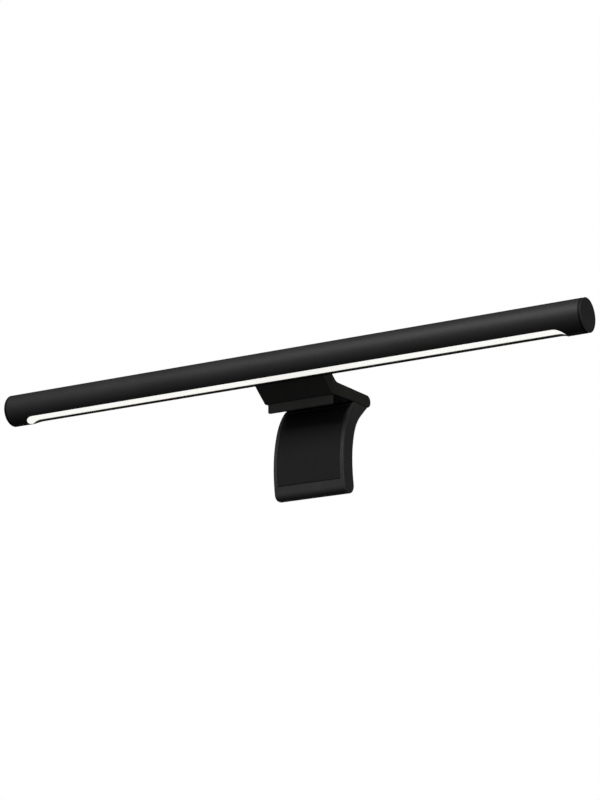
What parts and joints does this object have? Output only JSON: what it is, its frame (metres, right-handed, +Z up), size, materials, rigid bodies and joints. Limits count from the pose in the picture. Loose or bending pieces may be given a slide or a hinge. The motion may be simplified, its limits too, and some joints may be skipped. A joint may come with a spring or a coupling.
{
  "type": "clip-on light bar",
  "caption": "Slim round lamp tube with a downward diffuser, held by magnets in the sloping saddle of a sprung clamp that hooks over the top edge of a panel.",
  "frame": {"origin": "middle of the seat, on the underside of the seat pad, where the top edge of the panel carries the clamp", "axes": "+X along the lamp tube to the right as the user sees it, +Y backwards over the panel, +Z up"},
  "size_m": [0.448, 0.0838, 0.0925],
  "materials": {
    "tube_coating": "fine matte black anodised",
    "cap_plastic": "moulded, fine texture",
    "opal_lens": "opal, satin",
    "white_reflector": "satin white",
    "bare_aluminium": "extruded",
    "circuit_board": "solder mask",
    "board_white": "white solder mask",
    "led_warm": "phosphor",
    "led_cool": "phosphor",
    "thermal_tape": "soft",
    "component_black": "moulded",
    "plated_steel": "nickel plated",
    "steel": "zinc plated",
    "arm_coating": "die-cast, fine matte black coating",
    "leg_plastic": "moulded, fine texture",
    "lip_plastic": "moulded",
    "soft_rubber": "soft matte",
    "pin_steel": "ground",
    "spring_steel": "oiled",
    "acetal": "natural"
  },
  "bodies": {
    "clamp": {"arm_body": "arm_coating", "saddle_liner": "soft_rubber", "saddle_magnets": "plated_steel", "magnet_yokes": "steel", "front_lip": "lip_plastic", "lip_screws": "steel", "bezel_pad": "soft_rubber", "seat_pad": "soft_rubber", "hinge_pin": "pin_steel", "pin_cap": "lip_plastic", "torsion_springs": "spring_steel"},
    "bar": {"tube_housing": "tube_coating", "diffuser": "opal_lens", "reflector": "white_reflector", "heat_rail": "bare_aluminium", "thermal_tape": "thermal_tape", "led_board": "board_white", "warm_leds": "led_warm", "cool_leds": "led_cool", "driver_board": "circuit_board", "driver_components": "component_black", "radio_module": "plated_steel", "board_ribbon": "soft_rubber", "port_surround": "cap_plastic", "usb_c_socket": "plated_steel", "socket_board": "circuit_board", "keeper_plates": "steel", "end_cap_right": "cap_plastic", "end_cap_left": "cap_plastic", "cap_disc_right": "cap_plastic", "cap_disc_left": "cap_plastic", "cap_spacer_right": "component_black", "cap_spacer_left": "component_black", "cap_screws_right": "steel", "cap_screws_left": "steel"},
    "leg": {"leg_shell": "leg_plastic", "counterweight": "steel", "leg_plate": "leg_plastic", "leg_screws": "steel", "leg_pad": "soft_rubber", "hinge_bushes": "acetal"}
  },
  "joints": [
    {"name": "bar_tilt", "type": "hinge", "parent": "clamp", "child": "bar", "pos_m": [0, -0.036, 0.0175], "axis": [1, 0, 0], "range_deg": [-15, 10]},
    {"name": "leg_swing", "type": "hinge", "parent": "clamp", "child": "leg", "pos_m": [0, 0.0323, 0.0053], "axis": [1, 0, 0], "range_deg": [0, 40], "stiffness_Nm_per_rad": 0.08, "springref_deg": -80.21}
  ]
}
